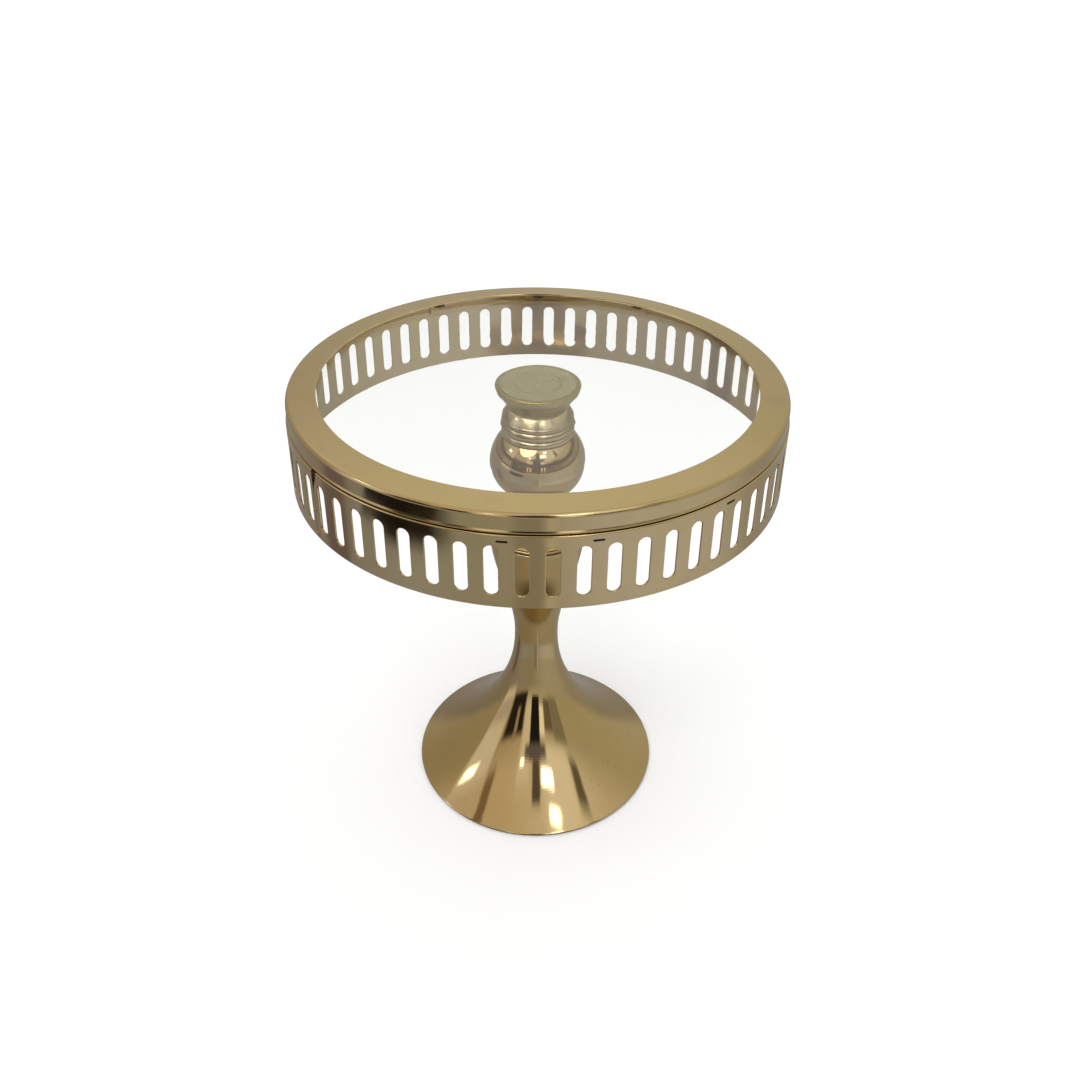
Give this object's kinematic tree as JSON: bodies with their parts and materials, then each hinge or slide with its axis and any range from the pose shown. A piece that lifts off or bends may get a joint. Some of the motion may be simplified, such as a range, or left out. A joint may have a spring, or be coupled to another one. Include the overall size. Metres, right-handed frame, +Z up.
{
  "type": "cake stand",
  "caption": "Pedestal cake stand: a clear glass plate under a pressed gold-coloured rim with a slotted gallery, on a turned stem and a hollow trumpet foot.",
  "frame": {"origin": "centre of the footprint, on the table under the foot", "axes": "+Z up along the stem; -Y towards the front, where two gallery slots sit either side of the middle; +X to the right seen from the front"},
  "size_m": [0.253, 0.253, 0.263],
  "materials": {
    "gold_plate": "polished, champagne gold plating under clear lacquer",
    "clear_glass": "clear float glass, ground edge",
    "clear_silicone": "clear cured silicone",
    "zinc_steel": "zinc plated",
    "dark_steel": "heat-darkened from brazing",
    "dark_rubber": "matt"
  },
  "bodies": {
    "root": {"pedestal_shell": "gold_plate", "foot_grip_ring": "dark_rubber", "clamp_cup": "zinc_steel", "flat_washer": "zinc_steel", "spring_washer": "zinc_steel", "hex_nut": "zinc_steel", "tie_rod": "zinc_steel", "tulip_plate": "zinc_steel", "stem_gasket": "dark_rubber", "bulb": "gold_plate", "grooved_collar": "gold_plate", "disc_cap": "gold_plate", "glass_bond": "clear_silicone", "glass_top": "clear_glass", "rim_ring": "gold_plate", "rim_seal": "clear_silicone", "gallery_band": "gold_plate", "seam_strap": "dark_steel", "seam_rivets": "gold_plate", "glass_clips": "gold_plate"}
  },
  "joints": []
}
